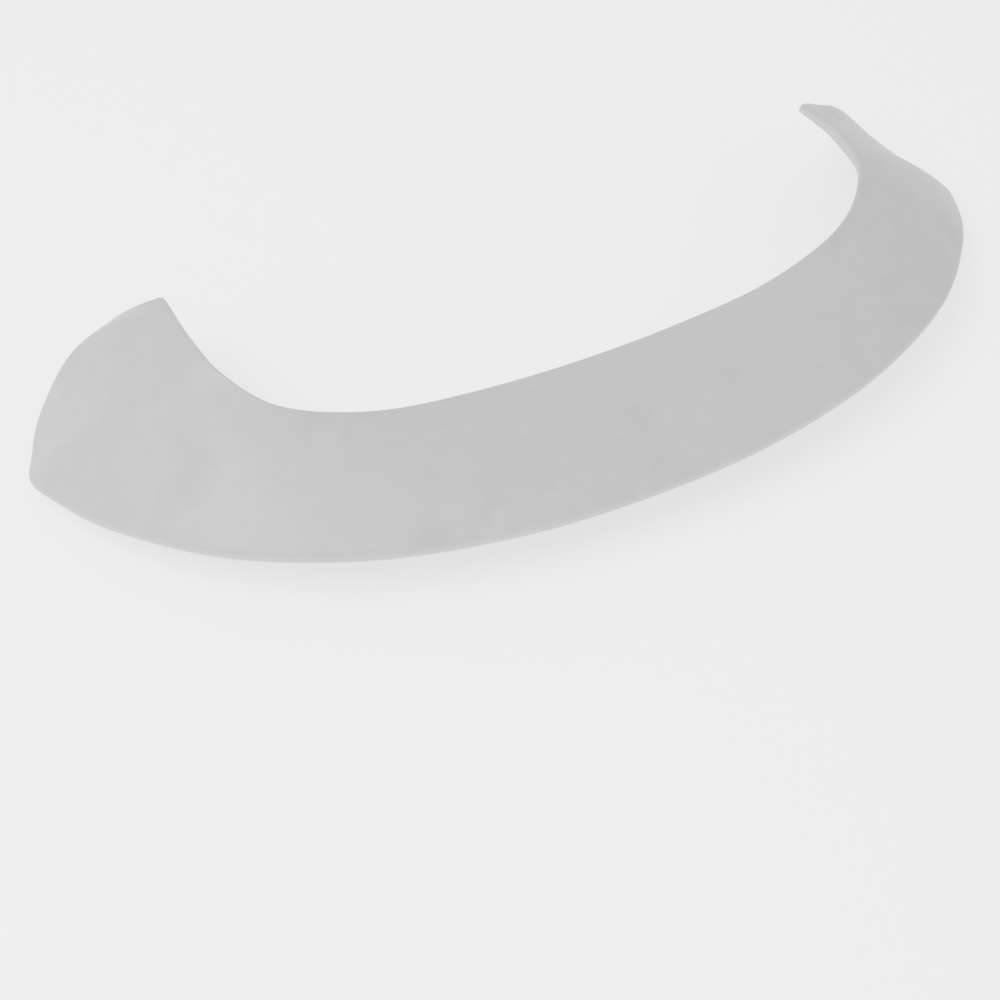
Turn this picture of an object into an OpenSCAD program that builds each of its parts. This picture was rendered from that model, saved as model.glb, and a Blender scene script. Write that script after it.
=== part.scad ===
// Roof spoiler: one moulded thin-walled blade with an arm at each end.
// Frame: X across the car, Y towards the front of the car, Z up, in mm.
// The origin is the middle of the box in X and Y and its bottom in Z.

/* [Blade] */
// Overall width over the two rear corners
width = 1150; // [1000:5:1300]
// Depth of the blade on the centre line, front edge to trailing edge
chord = 172; // [150:2:220]
// Drop of the trailing edge below the front edge on the centre line
blade_drop = 18; // [0:1:50]
// Rise of the top skin above the straight line between its edges
crown = 9; // [2:0.5:16]

/* [Arms] */
// Width between the two arm tips
tip_span = 784; // [740:4:880]
// How far the arm tips stand in front of the blade's front edge
arm_reach = 212; // [150:2:240]
// Height of the arm tips above the middle of the front edge
tip_rise = 35; // [0:1:70]
// Height of the arms where they turn forward, above the middle of the front edge
bend_rise = 74; // [30:1:100]
// How far the rear corners stand in front of the trailing edge's middle
corner_sweep = 300; // [240:2:330]
// Drop of the rear corners below the middle of the front edge
corner_drop = 90; // [50:1:110]
// Drop of the side edge at its lowest, ahead of the rear corner
side_drop = 108; // [70:1:130]
// Rise of the top skin across the arms, where it rolls over to the side
arm_crown = 14; // [6:0.5:24]

/* [Skin and edges] */
// Wall of the moulding
wall = 3.5; // [2.5:0.25:4]
// Depth of the rear wall of the trailing edge
edge_depth = 20; // [16:0.5:26]
// Radius that rounds the rear wall, above and below
edge_r = 7; // [5.5:0.5:8]
// Width of the lip that returns under the trailing edge
lip_w = 20; // [12:1:30]
// How far out from the centre line the free edge of that lip steps down
step_at = 360; // [300:5:420]
// How far the free edge of the lip steps down there
step_depth = 10; // [0:0.5:16]
// Depth of the turned-down front wall on the centre line
front_wall = 14; // [11:0.5:18]
// Depth of the turned-down front wall in the arm bends
arm_wall = 24; // [18:1:32]
// Radius where the top skin turns into the front wall
front_r = 8; // [6:0.5:10]

/* [Hidden] */
// Which piece to draw
half_n = 56;
top_n = 11;
hw = width / 2;
tw = tip_span / 2;

// Front edge of one half, from the centre line to the inner corner of the tip
front_pts = [
    [0, 0, 0],
    [0.306 * tw, 0.01 * arm_reach, 0.05 * bend_rise],
    [0.60 * tw, 0.03 * arm_reach, 0.28 * bend_rise],
    [0.842 * tw, 0.13 * arm_reach, 0.66 * bend_rise],
    [0.962 * tw, 0.344 * arm_reach, 0.98 * bend_rise],
    [0.997 * tw, 0.642 * arm_reach, 0.84 * bend_rise + 0.1 * tip_rise],
    [tw, arm_reach, tip_rise]
];
// Outer edge of one half: the trailing edge to the rounded rear corner, then up the side
corner_y = corner_sweep - chord;
outer_pts = [
    [0, -chord, -blade_drop],
    [0.264 * hw, -chord + 0.027 * corner_sweep, -0.9 * blade_drop],
    [0.527 * hw, -chord + 0.137 * corner_sweep, -0.97 * blade_drop],
    [0.755 * hw, -chord + 0.343 * corner_sweep, -blade_drop - 0.08 * corner_drop],
    [0.913 * hw, -chord + 0.63 * corner_sweep, -0.52 * corner_drop],
    [0.983 * hw, -chord + 0.87 * corner_sweep, -0.79 * corner_drop],
    [hw, corner_y, -corner_drop],
    [0.979 * hw, corner_y + 36, -side_drop],
    [0.937 * hw, corner_y + 82, -0.95 * side_drop],
    [0.857 * hw, corner_y + 111, -0.51 * side_drop],
    [tw + 47, arm_reach + 25, tip_rise - 45]
];

// A smooth curve through points, u from 0 to 1; the mirrored start keeps it square there
function knot(p, i) = i < 0 ? [-p[1][0], p[1][1], p[1][2]]
    : i >= len(p) ? 2 * p[len(p) - 1] - p[len(p) - 2] : p[i];
function curve(p, u) =
    let (n = len(p) - 1, q = min(u * n, n - 1e-9), i = floor(q), f = q - i,
         a = knot(p, i - 1), b = p[i], c = knot(p, i + 1), d = knot(p, i + 2))
    0.5 * ((2 * b) + (c - a) * f + (2 * a - 5 * b + 4 * c - d) * f * f
           + (3 * b - a - 3 * c + d) * f * f * f);
function unit(v) = v / norm(v);
function soft(e0, e1, x) = let (t = max(0, min(1, (x - e0) / (e1 - e0)))) t * t * (3 - 2 * t);

// Share of the stations that lie behind the rear corner, on the first half of the outer points
split = 0.62;
// Front and outer end of the section at station s (0 on the centre line, 1 at the tip)
function front_at(s) = curve(front_pts, s);
function outer_at(s) = curve(outer_pts,
    s <= split ? 0.5 * s / split : 1 - 0.5 * (1 - s) / (1 - split));

// Local axes of a section: along it, and away from the skin
function along_at(s) = unit(outer_at(s) - front_at(s));
function away_at(s) = let (e = along_at(s), up = [0, 0, 1]) unit(up - (up * e) * e);
function span_at(s) = norm(outer_at(s) - front_at(s));

// Section sizes: edges shrink towards the narrow tip, the skin rolls more across the arms
function ease(s) = max(0.62, min(1, span_at(s) / 110));
function wall_depth(s) = ease(s) * (front_wall + (arm_wall - front_wall)
    * soft(0.45, 0.72, s) * (1 - soft(0.80, 1, s)));
function crown_at(s) = (crown + (arm_crown - crown) * soft(0.35, 0.75, s))
    * pow(min(1, span_at(s) / 150), 2);
function lip_drop(s) = (outer_at(s)[0] > step_at ? step_depth : 0) * (1 - soft(split, 1, s));

// Path of one face of the section, d = 0 for the outside and wall for the inside
function path(s, d) =
    let (L = span_at(s), w = wall_depth(s), r = front_r * ease(s), n = edge_r * ease(s),
         h = edge_depth * ease(s), q = lip_w * ease(s), b = crown_at(s))
    concat(
        [[d, -w], [d, -(w + r) / 2]],
        [for (a = [180:-22.5:90]) [r + (r - d) * cos(a), -r + (r - d) * sin(a)
            + b * 4 * (r / L) * (1 - r / L) * (180 - a) / 90]],
        [for (i = [1:top_n - 1]) let (u = r + (L - n - r) * i / top_n)
            [u, b * 4 * (u / L) * (1 - u / L) - d]],
        [for (a = [90:-30:0]) [L - n + (n - d) * cos(a), -n + (n - d) * sin(a)
            + b * 4 * ((L - n) / L) * (n / L) * a / 90]],
        [for (a = [0:-30:-90]) [L - n + (n - d) * cos(a), n - h + (n - d) * sin(a)]],
        [[L - n - q, d - h - lip_drop(s)]]
    );
function place(s, p) = front_at(s) + along_at(s) * p[0] + away_at(s) * p[1];
function flip(p) = [-p[0], p[1], p[2]];

// Stations from the centre line to the tip; the inside stops one wall short of the end
tip_run = norm(front_at(1) - front_at(0.98)) / 0.02;
function st(i, d) = i == half_n ? 1 - d / tip_run : i / half_n;
outer_half = [for (i = [0:half_n]) let (s = st(i, 0)) [for (p = path(s, 0)) place(s, p)]];
inner_half = [for (i = [0:half_n]) let (s = st(i, wall)) [for (p = path(s, wall)) place(s, p)]];
cols = len(outer_half[0]);
rows = 2 * half_n + 1;
function row_of(h, j) = j < half_n ? [for (p = h[half_n - j]) flip(p)] : h[j - half_n];
outer_rows = [for (j = [0:rows - 1]) row_of(outer_half, j)];
inner_rows = [for (j = [0:rows - 1]) row_of(inner_half, j)];

all_pts = concat([for (r = outer_rows) each r], [for (r = inner_rows) each r]);
low = [for (k = [0:2]) min([for (p = all_pts) p[k]])];
high = [for (k = [0:2]) max([for (p = all_pts) p[k]])];
shift = [0, -(low[1] + high[1]) / 2, -low[2]];

// Point numbers on the outside and inside, and a four-sided patch as two triangles
function o(j, c) = j * cols + c;
function n(j, c) = rows * cols + j * cols + c;
function quad(a, b, c, d) = [[a, b, c], [a, c, d]];

module spoiler() {
    lip = cols - 1;
    end = rows - 1;
    skin = concat(
        [for (j = [0:rows - 2]) for (c = [0:cols - 2])
            each quad(o(j, c), o(j, c + 1), o(j + 1, c + 1), o(j + 1, c))],
        [for (j = [0:rows - 2]) for (c = [0:cols - 2])
            each quad(n(j + 1, c), n(j + 1, c + 1), n(j, c + 1), n(j, c))],
        [for (j = [0:rows - 2]) each quad(n(j, 0), o(j, 0), o(j + 1, 0), n(j + 1, 0))],
        [for (j = [0:rows - 2]) each quad(o(j, lip), n(j, lip), n(j + 1, lip), o(j + 1, lip))],
        // End walls that close the arms, outside, inside and along their lower edge
        [for (c = [0:lip - 2]) [o(0, lip), o(0, c + 1), o(0, c)]],
        [for (c = [0:lip - 2]) [n(0, lip), n(0, c), n(0, c + 1)]],
        quad(o(0, 0), n(0, 0), n(0, lip), o(0, lip)),
        [for (c = [0:lip - 2]) [o(end, lip), o(end, c), o(end, c + 1)]],
        [for (c = [0:lip - 2]) [n(end, lip), n(end, c + 1), n(end, c)]],
        quad(o(end, lip), n(end, lip), n(end, 0), o(end, 0))
    );
    color([0.76, 0.77, 0.76])
        translate(shift) polyhedron(points = all_pts, faces = skin, convexity = 8);
}

spoiler();
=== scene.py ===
import math

import bpy
from mathutils import Matrix, Vector


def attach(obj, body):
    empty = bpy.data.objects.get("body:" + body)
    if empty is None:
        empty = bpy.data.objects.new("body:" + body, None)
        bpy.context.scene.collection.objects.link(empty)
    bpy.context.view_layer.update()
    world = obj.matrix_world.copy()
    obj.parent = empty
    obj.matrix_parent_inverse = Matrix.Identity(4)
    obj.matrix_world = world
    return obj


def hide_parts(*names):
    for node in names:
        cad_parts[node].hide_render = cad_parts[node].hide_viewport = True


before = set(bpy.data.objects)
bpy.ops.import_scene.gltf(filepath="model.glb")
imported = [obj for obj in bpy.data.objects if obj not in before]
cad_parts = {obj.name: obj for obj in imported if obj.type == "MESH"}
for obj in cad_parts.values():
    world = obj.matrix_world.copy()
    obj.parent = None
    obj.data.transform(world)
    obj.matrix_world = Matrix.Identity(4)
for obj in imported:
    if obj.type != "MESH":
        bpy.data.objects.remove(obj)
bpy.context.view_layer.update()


# Shader helpers: a socket that takes part in plain expressions

class Wire:
    def __init__(self, tree, socket):
        self.tree = tree
        self.socket = socket

    def combine(self, operation, first, second):
        return addNode(self.tree, "ShaderNodeMath", {"operation": operation}, [first, second])

    def __add__(self, other):
        return self.combine("ADD", self, other)

    def __radd__(self, other):
        return self.combine("ADD", other, self)

    def __sub__(self, other):
        return self.combine("SUBTRACT", self, other)

    def __rsub__(self, other):
        return self.combine("SUBTRACT", other, self)

    def __mul__(self, other):
        return self.combine("MULTIPLY", self, other)

    def __rmul__(self, other):
        return self.combine("MULTIPLY", other, self)


def addNode(tree, kind, settings=None, inputs=None, output=0):
    node = tree.nodes.new(kind)
    for name, value in (settings or {}).items():
        setattr(node, name, value)
    pairs = inputs.items() if isinstance(inputs, dict) else enumerate(inputs or [])
    for key, value in pairs:
        socket = node.inputs[key]
        if isinstance(value, Wire):
            tree.links.new(value.socket, socket)
        else:
            socket.default_value = value
    return Wire(tree, node.outputs[output]) if node.outputs else None


def newMaterial(name):
    material = bpy.data.materials.new(name)
    material.use_nodes = True
    material.node_tree.nodes.clear()
    return material, material.node_tree


# Camera: behind the spoiler, to its left and well above it

camera = {
    "place": (-0.795, -1.118, 1.864),
    "azimuth": -34.5,
    "elevation": 52.4,
    "roll": 10.2,
    "lens": 74.2,
    "sensorWidth": 36.0,
    "shiftX": -0.045,
    "shiftY": -0.150,
}


def makeCamera():
    azimuth = math.radians(camera["azimuth"])
    elevation = math.radians(camera["elevation"])
    roll = math.radians(camera["roll"])
    look = Vector((
        -math.sin(azimuth) * math.cos(elevation),
        math.cos(azimuth) * math.cos(elevation),
        -math.sin(elevation),
    ))
    level = Vector((math.cos(azimuth), math.sin(azimuth), 0.0))
    upright = level.cross(look)
    right = level * math.cos(roll) + upright * math.sin(roll)
    up = upright * math.cos(roll) - level * math.sin(roll)
    data = bpy.data.cameras.new("camera")
    data.sensor_width = camera["sensorWidth"]
    data.lens = camera["lens"]
    data.shift_x = camera["shiftX"]
    data.shift_y = camera["shiftY"]
    view = bpy.data.objects.new("camera", data)
    turn = Matrix((right, up, -look)).transposed().to_4x4()
    view.matrix_world = Matrix.Translation(Vector(camera["place"])) @ turn
    bpy.context.scene.collection.objects.link(view)
    bpy.context.scene.camera = view
    print("camera placed")


# Studio: pale floor, even sky light and one broad soft lamp

studio = {
    "floorSize": 14.0,
    "floorColour": (0.96, 0.96, 0.96, 1.0),
    "floorRoughness": 0.9,
    "floorGlow": 1.7,  # keeps the floor pale without burning out the spoiler
    "skyColour": (1.0, 1.0, 1.0, 1.0),
    "skyStrength": 2.1,
    "lampPlace": (-1.6, -0.4, 2.8),
    "lampAim": (0.0, 0.0, 0.0),
    "lampSize": 1.6,
    "lampPower": 190.0,
}


def makeStudio():
    bpy.ops.object.select_all(action="DESELECT")
    bpy.ops.mesh.primitive_plane_add(size=studio["floorSize"], location=(0.0, 0.0, 0.0))
    floor = bpy.context.object
    floor.name = "floor"
    material, tree = newMaterial("paleFloor")
    shader = addNode(tree, "ShaderNodeBsdfPrincipled", inputs={
        "Base Color": studio["floorColour"], "Roughness": studio["floorRoughness"],
        "Emission Color": studio["skyColour"], "Emission Strength": studio["floorGlow"]})
    addNode(tree, "ShaderNodeOutputMaterial", inputs={"Surface": shader})
    floor.data.materials.append(material)

    world = bpy.data.worlds.new("sky")
    world.use_nodes = True
    back = world.node_tree.nodes["Background"]
    back.inputs["Color"].default_value = studio["skyColour"]
    back.inputs["Strength"].default_value = studio["skyStrength"]
    bpy.context.scene.world = world

    data = bpy.data.lights.new("softLamp", "AREA")
    data.shape = "DISK"
    data.size = studio["lampSize"]
    data.energy = studio["lampPower"]
    lamp = bpy.data.objects.new("softLamp", data)
    lamp.location = studio["lampPlace"]
    aim = Vector(studio["lampAim"]) - Vector(studio["lampPlace"])
    lamp.rotation_euler = aim.to_track_quat("-Z", "Y").to_euler()
    bpy.context.scene.collection.objects.link(lamp)
    print("studio lit")


# Front wall of the arms: it rolls further under than the plain solid's

frontTurn = {
    "origin": (0.0, -0.03409, 0.12047),  # middle of the front edge
    # sizes that the solid is built from, repeated here to find its sections
    "halfWidth": 0.575,
    "chord": 0.172,
    "bladeDrop": 0.018,
    "halfTipSpan": 0.392,
    "armReach": 0.212,
    "tipRise": 0.035,
    "bendRise": 0.074,
    "cornerSweep": 0.300,
    "cornerDrop": 0.090,
    "sideDrop": 0.108,
    "wall": 0.0035,
    "radius": 0.008,
    "fullWidth": 0.110,  # the radius shrinks where the skin is narrower than this
    "narrowest": 0.62,  # and never below this share of itself
    "stations": 56,  # sections along each half
    # shares of the way out to the tip
    "rearCorner": 0.62,
    "tipStep": 0.02,
    "turnFrom": 0.34,
    "turnFull": 0.66,
    "setBackUntil": 0.82,
    # the turn itself
    "angle": 62.0,  # degrees that the wall turns past square
    "setBack": 0.004,
    "tightRadius": 0.0036,
    # how near a point has to lie to belong to a section's front wall
    "reach": 0.027,
    "slack": 0.0005,
    "frontSlack": 0.001,
    "topSlack": 0.002,
}


def frontKnots():
    tip, reach = frontTurn["halfTipSpan"], frontTurn["armReach"]
    bend, rise = frontTurn["bendRise"], frontTurn["tipRise"]
    return [
        (0.0, 0.0, 0.0),
        (0.306 * tip, 0.01 * reach, 0.05 * bend),
        (0.60 * tip, 0.03 * reach, 0.28 * bend),
        (0.842 * tip, 0.13 * reach, 0.66 * bend),
        (0.962 * tip, 0.344 * reach, 0.98 * bend),
        (0.997 * tip, 0.642 * reach, 0.84 * bend + 0.1 * rise),
        (tip, reach, rise),
    ]


def outerKnots():
    half, chord, sweep = frontTurn["halfWidth"], frontTurn["chord"], frontTurn["cornerSweep"]
    drop, fall, side = frontTurn["bladeDrop"], frontTurn["cornerDrop"], frontTurn["sideDrop"]
    tip, reach, rise = frontTurn["halfTipSpan"], frontTurn["armReach"], frontTurn["tipRise"]
    ahead = sweep - chord
    return [
        (0.0, -chord, -drop),
        (0.264 * half, -chord + 0.027 * sweep, -0.9 * drop),
        (0.527 * half, -chord + 0.137 * sweep, -0.97 * drop),
        (0.755 * half, -chord + 0.343 * sweep, -drop - 0.08 * fall),
        (0.913 * half, -chord + 0.63 * sweep, -0.52 * fall),
        (0.983 * half, -chord + 0.87 * sweep, -0.79 * fall),
        (half, ahead, -fall),
        (0.979 * half, ahead + 0.036, -side),
        (0.937 * half, ahead + 0.082, -0.95 * side),
        (0.857 * half, ahead + 0.111, -0.51 * side),
        (tip + 0.047, reach + 0.025, rise - 0.045),
    ]


def pointOnCurve(points, share):
    knots = [Vector([round(size, 4) for size in point]) for point in points]  # to 0.1 mm
    spans = len(knots) - 1
    place = min(share * spans, spans - 1e-9)
    start = int(place)
    part = place - start
    before = Vector((-knots[1].x, knots[1].y, knots[1].z)) if start == 0 else knots[start - 1]
    after = 2.0 * knots[-1] - knots[-2] if start + 2 > spans else knots[start + 2]
    here, ahead = knots[start], knots[start + 1]
    return 0.5 * (2.0 * here + (ahead - before) * part
                  + (2.0 * before - 5.0 * here + 4.0 * ahead - after) * part ** 2
                  + (3.0 * here - before - 3.0 * ahead + after) * part ** 3)


def easeIn(start, end, value):
    share = max(0.0, min(1.0, (value - start) / (end - start)))
    return share * share * (3.0 - 2.0 * share)


def wallSections():
    frontEdge, outerEdge = frontKnots(), outerKnots()
    corner, stations = frontTurn["rearCorner"], frontTurn["stations"]
    nearTip = pointOnCurve(frontEdge, 1.0 - frontTurn["tipStep"])
    tipRun = (pointOnCurve(frontEdge, 1.0) - nearTip).length / frontTurn["tipStep"]
    shares = [number / stations for number in range(stations + 1)]
    shares.append(1.0 - frontTurn["wall"] / tipRun)  # the inside stops a wall short of the tip
    sections = []
    for share in shares:
        effect = easeIn(frontTurn["turnFrom"], frontTurn["turnFull"], share)
        if effect == 0.0:
            continue
        if share <= corner:  # half of the outer curve lies behind the rear corner
            outerShare = 0.5 * share / corner
        else:
            outerShare = 1.0 - 0.5 * (1.0 - share) / (1.0 - corner)
        front = pointOnCurve(frontEdge, share)
        across = pointOnCurve(outerEdge, outerShare) - front
        along = across.normalized()
        away = (Vector((0.0, 0.0, 1.0)) - along * along.z).normalized()
        size = max(frontTurn["narrowest"], min(1.0, across.length / frontTurn["fullWidth"]))
        radius = frontTurn["radius"] * size
        sections.append({
            "front": front + Vector(frontTurn["origin"]),
            "along": along,
            "away": away,
            "normal": along.cross(away),
            "radius": radius,
            "tight": radius + (frontTurn["tightRadius"] - radius) * effect,
            "angle": math.radians(frontTurn["angle"]) * effect,
            "back": frontTurn["setBack"] * effect
            * (1.0 - easeIn(frontTurn["setBackUntil"], 1.0, share)),
        })
    return sections


def findSection(sections, place):
    slack = frontTurn["slack"]
    nearest, found = slack, None
    for section in sections:
        gap = place - section["front"]
        if gap.length > frontTurn["reach"]:
            continue
        deep, high = gap.dot(section["along"]), gap.dot(section["away"])
        off = abs(gap.dot(section["normal"]))
        if off < nearest and -frontTurn["frontSlack"] < deep < section["radius"] + slack \
                and high < frontTurn["topSlack"]:
            nearest, found = off, (section, deep - section["radius"], high + section["radius"])
    return found


def turnFrontWall(mesh):
    sections = wallSections()
    quarter = math.pi / 2
    moved = 0
    for vertex in mesh.vertices:
        side = -1.0 if vertex.co.x < 0.0 else 1.0
        found = findSection(sections, Vector((vertex.co.x * side, vertex.co.y, vertex.co.z)))
        if found is None:
            continue
        section, deep, high = found
        if high > 0.0:  # on the rounded corner
            share = max(0.0, min(1.0, math.atan2(-deep, high) / quarter))
            reach, fall = math.hypot(deep, high), 0.0
        else:  # on the flat wall below it
            share, reach, fall = 1.0, -deep, -high
        reach -= section["radius"] - section["tight"]
        angle = section["angle"]
        turn = quarter + share * (quarter + angle)
        deep = section["tight"] + section["back"] \
            + reach * math.cos(turn) + fall * math.sin(angle)
        high = reach * math.sin(turn) - fall * math.cos(angle) - section["tight"]
        place = section["front"] + section["along"] * deep + section["away"] * high
        vertex.co = Vector((place.x * side, place.y, place.z))
        moved += 1
    print("front wall turned in at", moved, "points")


# Spoiler skin: the moulding with its facets smoothed

skin = {
    "mergeDistance": 0.00002,
    "quadFaceLimit": 0.7,  # radians, as the next one is
    "quadShapeLimit": 1.2,
    "keepEdge": 50.0,  # degrees past which an edge stays crisp
    "crease": 0.9,
    "smoothEdge": 45.0,  # degrees past which the shading breaks
    "levels": 1,
}


def makeSkin():
    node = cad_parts["spoiler"]
    bpy.ops.object.select_all(action="DESELECT")
    piece = node.copy()
    piece.data = node.data.copy()
    piece.name = "spoilerSkin"
    piece.data.name = "spoilerSkin"
    bpy.context.scene.collection.objects.link(piece)
    piece.parent = None
    piece.matrix_world = Matrix.Identity(4)
    piece.select_set(True)
    bpy.context.view_layer.objects.active = piece
    bpy.ops.object.mode_set(mode="EDIT")
    bpy.ops.mesh.select_mode(type="EDGE")
    bpy.ops.mesh.select_all(action="SELECT")
    bpy.ops.mesh.remove_doubles(threshold=skin["mergeDistance"])
    bpy.ops.mesh.tris_convert_to_quads(
        face_threshold=skin["quadFaceLimit"], shape_threshold=skin["quadShapeLimit"])
    bpy.ops.object.mode_set(mode="OBJECT")
    turnFrontWall(piece.data)
    bpy.ops.object.mode_set(mode="EDIT")
    bpy.ops.mesh.select_all(action="DESELECT")
    bpy.ops.mesh.edges_select_sharp(sharpness=math.radians(skin["keepEdge"]))
    bpy.ops.object.mode_set(mode="OBJECT")
    crease = piece.data.attributes.new("crease_edge", "FLOAT", "EDGE")
    for edge in piece.data.edges:
        crease.data[edge.index].value = skin["crease"] if edge.select else 0.0
    finer = piece.modifiers.new("finer", "SUBSURF")
    finer.levels = skin["levels"]
    finer.render_levels = skin["levels"]
    bpy.ops.object.modifier_apply(modifier=finer.name)
    bpy.ops.object.shade_smooth_by_angle(angle=math.radians(skin["smoothEdge"]))
    piece.data.materials.clear()
    piece.data.materials.append(makePrimer())
    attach(piece, "root")
    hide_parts("spoiler")
    print("skin made with", len(piece.data.polygons), "faces")


# Finish: sprayed grey primer, with painted shade darkening the faces that look down

primer = {
    "tone": (0.266, 0.269, 0.260, 1.0),
    "deepTone": (0.231, 0.236, 0.231, 1.0),
    "rubbedTone": (0.207, 0.210, 0.205, 1.0),
    # painted shade colour for faces that look down
    "paintedShadeTone": (0.132, 0.135, 0.137, 1.0),
    # scale, detail and roughness of each noise
    "cloud": (4.5, 3.0, 0.5),
    "patch": (13.0, 2.0, 0.45),
    "mottle": (48.0, 4.0, 0.6),
    "grain": (650.0, 2.0, 0.6),
    "peel": (180.0, 1.0, 0.5),
    # start and end of each soft mask
    "driftRange": (0.35, 0.65),
    "rubbedRange": (0.54, 0.74),
    "underRange": (0.25, 0.75),
    # how much of each noise goes into the coat's drift
    "cloudShare": 0.35,
    "mottleShare": 0.50,
    "grainShare": 0.15,
    "rubbedShare": 0.55,
    "underCloud": 0.15,
    "roughness": 0.50,
    # roughness of the faces that look down
    "downFacingRoughness": 0.58,
    "rubbedRoughness": 0.06,  # added where the coat is rubbed down
    "cloudRoughness": 0.05,  # added with the slow drift
    "sprayBump": 0.16,
    "sprayDepth": 0.0003,
    "grainHeight": 0.4,
    "peelHeight": 0.6,
}


def makePrimer():
    material, tree = newMaterial("primer")
    place = addNode(tree, "ShaderNodeTexCoord", output=3)
    normal = addNode(tree, "ShaderNodeNewGeometry", output=1)

    def noise(name):
        scale, detail, rough = primer[name]
        return addNode(tree, "ShaderNodeTexNoise", {"noise_dimensions": "3D"}, {
            "Vector": place, "Scale": scale, "Detail": detail, "Roughness": rough})

    def blend(share, low, high):
        return addNode(tree, "ShaderNodeMix", {"data_type": "RGBA"},
                       {0: share, 6: low, 7: high}, output=2)

    def ramp(value, name):
        start, end = primer[name]
        return addNode(tree, "ShaderNodeMapRange", {"interpolation_type": "SMOOTHSTEP"}, {
            "Value": value, "From Min": start, "From Max": end, "To Min": 0.0, "To Max": 1.0})

    # slow drift of the coat, fine spray grain, and a few places rubbed down by hand
    cloud = noise("cloud")
    mottle = noise("mottle")
    grain = noise("grain")
    drift = ramp(cloud, "driftRange") * primer["cloudShare"] \
        + ramp(mottle, "driftRange") * primer["mottleShare"] + grain * primer["grainShare"]
    coat = blend(drift, primer["deepTone"], primer["tone"])
    rubbed = ramp(noise("patch"), "rubbedRange")
    coat = blend(rubbed * primer["rubbedShare"], coat, primer["rubbedTone"])

    # painted shade: the more a face looks down, the darker and rougher it is made
    lean = addNode(tree, "ShaderNodeSeparateXYZ", inputs={"Vector": normal}, output=2)
    under = ramp(0.0 - lean + cloud * primer["underCloud"], "underRange")
    colour = blend(under, coat, primer["paintedShadeTone"])
    rough = primer["roughness"] + rubbed * primer["rubbedRoughness"] \
        + cloud * primer["cloudRoughness"] \
        + under * (primer["downFacingRoughness"] - primer["roughness"])
    height = grain * primer["grainHeight"] + noise("peel") * primer["peelHeight"]
    bump = addNode(tree, "ShaderNodeBump", inputs={
        "Strength": primer["sprayBump"], "Distance": primer["sprayDepth"], "Height": height})
    shader = addNode(tree, "ShaderNodeBsdfPrincipled", inputs={
        "Base Color": colour, "Roughness": rough, "Normal": bump})
    addNode(tree, "ShaderNodeOutputMaterial", inputs={"Surface": shader})
    return material


makeCamera()
makeStudio()
makeSkin()
